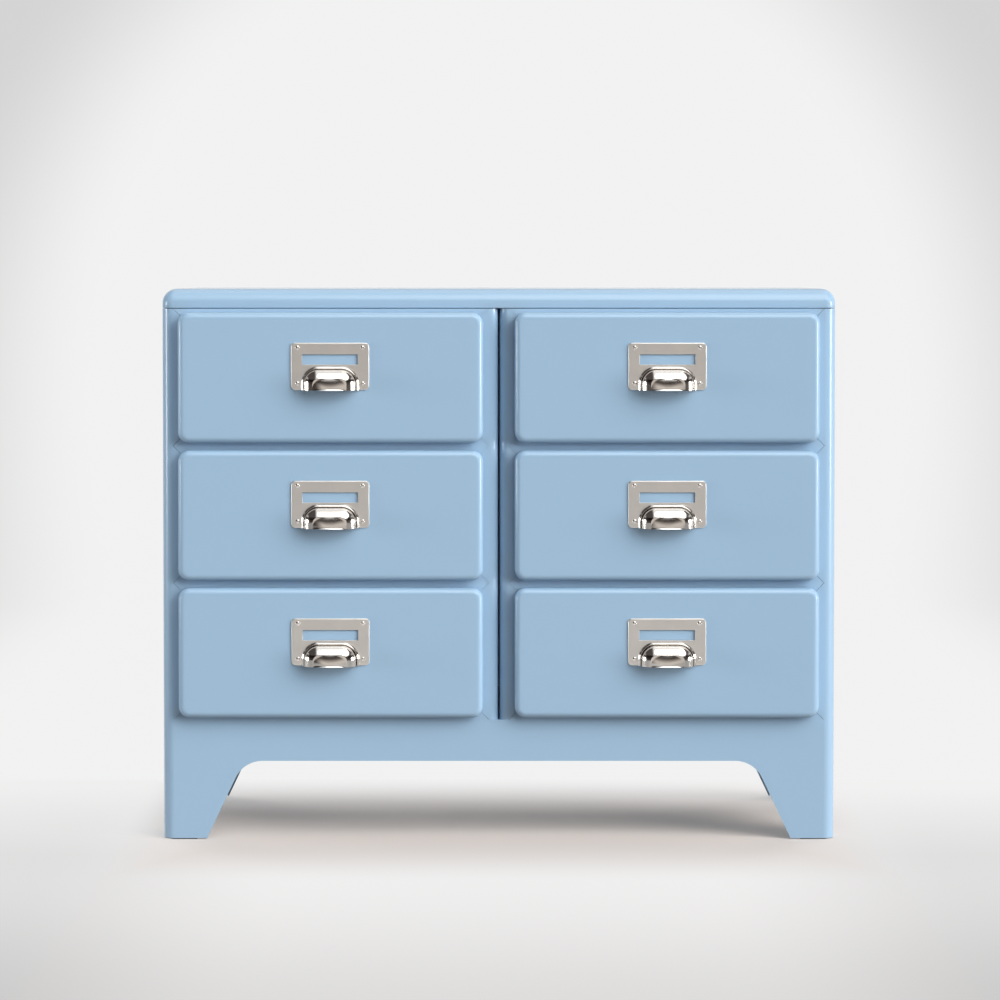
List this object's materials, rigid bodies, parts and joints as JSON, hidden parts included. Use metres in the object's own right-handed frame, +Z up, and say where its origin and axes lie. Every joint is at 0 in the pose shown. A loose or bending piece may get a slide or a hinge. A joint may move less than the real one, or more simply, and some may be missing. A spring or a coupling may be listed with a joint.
{
  "type": "steel chest of drawers",
  "caption": "Powder-coated sheet-steel chest with two columns of sliding drawers on an arched base, each drawer with a label plate and a cup pull.",
  "frame": {"origin": "on the floor, at the middle of the overall box, pulls included", "axes": "+X to the right of someone facing the drawers, drawers face and open towards -Y, +Z up"},
  "size_m": [0.9, 0.4364, 0.738],
  "materials": {
    "paint": "satin powder coat, pale blue",
    "nickel": "nickel plated, polished",
    "zinc": "zinc plated",
    "nylon": "natural nylon",
    "pad_plastic": "black moulded plastic"
  },
  "bodies": {
    "carcass": {"top_cap": "paint", "top_stiffener": "paint", "left_side_panel": "paint", "right_side_panel": "paint", "left_partition": "paint", "right_partition": "paint", "left_frame_rails": "paint", "right_frame_rails": "paint", "front_apron": "paint", "rear_apron": "paint", "base_deck": "paint", "back_panel": "paint", "left_runner_channels": "zinc", "right_runner_channels": "zinc", "left_runner_glides": "nylon", "right_runner_glides": "nylon", "foot_plates": "zinc", "foot_pads": "pad_plastic"},
    "lower_left_drawer": {"lower_left_drawer_front": "paint", "lower_left_drawer_liner": "paint", "lower_left_drawer_tray": "paint", "lower_left_runner_shoes": "nylon", "lower_left_label_plate": "nickel", "lower_left_cup_pull": "nickel", "lower_left_pull_rivets": "nickel"},
    "middle_left_drawer": {"middle_left_drawer_front": "paint", "middle_left_drawer_liner": "paint", "middle_left_drawer_tray": "paint", "middle_left_runner_shoes": "nylon", "middle_left_label_plate": "nickel", "middle_left_cup_pull": "nickel", "middle_left_pull_rivets": "nickel"},
    "upper_left_drawer": {"upper_left_drawer_front": "paint", "upper_left_drawer_liner": "paint", "upper_left_drawer_tray": "paint", "upper_left_runner_shoes": "nylon", "upper_left_label_plate": "nickel", "upper_left_cup_pull": "nickel", "upper_left_pull_rivets": "nickel"},
    "lower_right_drawer": {"lower_right_drawer_front": "paint", "lower_right_drawer_liner": "paint", "lower_right_drawer_tray": "paint", "lower_right_runner_shoes": "nylon", "lower_right_label_plate": "nickel", "lower_right_cup_pull": "nickel", "lower_right_pull_rivets": "nickel"},
    "middle_right_drawer": {"middle_right_drawer_front": "paint", "middle_right_drawer_liner": "paint", "middle_right_drawer_tray": "paint", "middle_right_runner_shoes": "nylon", "middle_right_label_plate": "nickel", "middle_right_cup_pull": "nickel", "middle_right_pull_rivets": "nickel"},
    "upper_right_drawer": {"upper_right_drawer_front": "paint", "upper_right_drawer_liner": "paint", "upper_right_drawer_tray": "paint", "upper_right_runner_shoes": "nylon", "upper_right_label_plate": "nickel", "upper_right_cup_pull": "nickel", "upper_right_pull_rivets": "nickel"}
  },
  "joints": [
    {"name": "lower_left_slide", "type": "slide", "parent": "carcass", "child": "lower_left_drawer", "axis": [0, -1, 0], "range_m": [0, 0.289]},
    {"name": "middle_left_slide", "type": "slide", "parent": "carcass", "child": "middle_left_drawer", "axis": [0, -1, 0], "range_m": [0, 0.289]},
    {"name": "upper_left_slide", "type": "slide", "parent": "carcass", "child": "upper_left_drawer", "axis": [0, -1, 0], "range_m": [0, 0.289]},
    {"name": "lower_right_slide", "type": "slide", "parent": "carcass", "child": "lower_right_drawer", "axis": [0, -1, 0], "range_m": [0, 0.289]},
    {"name": "middle_right_slide", "type": "slide", "parent": "carcass", "child": "middle_right_drawer", "axis": [0, -1, 0], "range_m": [0, 0.289]},
    {"name": "upper_right_slide", "type": "slide", "parent": "carcass", "child": "upper_right_drawer", "axis": [0, -1, 0], "range_m": [0, 0.289]}
  ]
}
